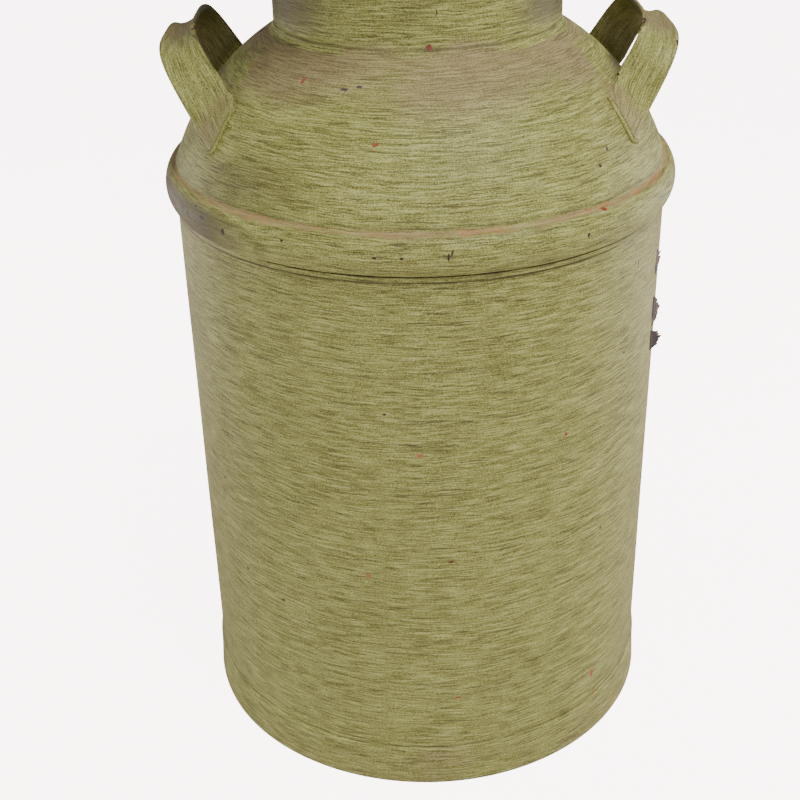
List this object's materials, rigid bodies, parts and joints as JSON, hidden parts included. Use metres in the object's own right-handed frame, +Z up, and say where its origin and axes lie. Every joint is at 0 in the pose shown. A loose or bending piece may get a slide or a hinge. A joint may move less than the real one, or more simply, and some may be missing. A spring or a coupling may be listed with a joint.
{
  "type": "milk can",
  "caption": "Tall painted steel milk can with a rounded shoulder, a half-round band, two strap handles on the shoulder and a lift-off plug lid.",
  "frame": {"origin": "centre of the foot ring on the floor", "axes": "+Z up along the can's axis, +X towards the right handle, -Y towards the front"},
  "size_m": [0.3432, 0.3432, 0.6351],
  "materials": {
    "body_paint": "brushed olive green paint, satin, with worn spots",
    "hoop_paint": "the same green paint on the hoops and the band, a little glossier on the rounded face",
    "handle_paint": "green paint brushed along the strap, chipped to dark primer at the edges",
    "bare_tin": "dull tinned steel with stains",
    "solder": "smooth grey solder"
  },
  "bodies": {
    "can": {"body_shell": "body_paint", "body_seam_strip": "bare_tin", "bottom_pan": "bare_tin", "bottom_hoop": "hoop_paint", "bottom_solder": "solder", "shoulder": "body_paint", "shoulder_band": "hoop_paint", "lap_strip": "hoop_paint", "neck_collar": "body_paint", "neck_solder": "body_paint", "mouth_hoop": "hoop_paint", "left_handle": "handle_paint", "right_handle": "handle_paint", "handle_welds": "handle_paint"},
    "lid": {"lid_dish": "body_paint", "lid_crown": "hoop_paint", "lid_edge_wire": "hoop_paint", "lid_handle": "handle_paint", "lid_rivets": "handle_paint"}
  },
  "joints": [
    {"name": "lid_lift", "type": "slide", "parent": "can", "child": "lid", "axis": [0, 0, 1], "range_m": [0, 0.15]}
  ]
}
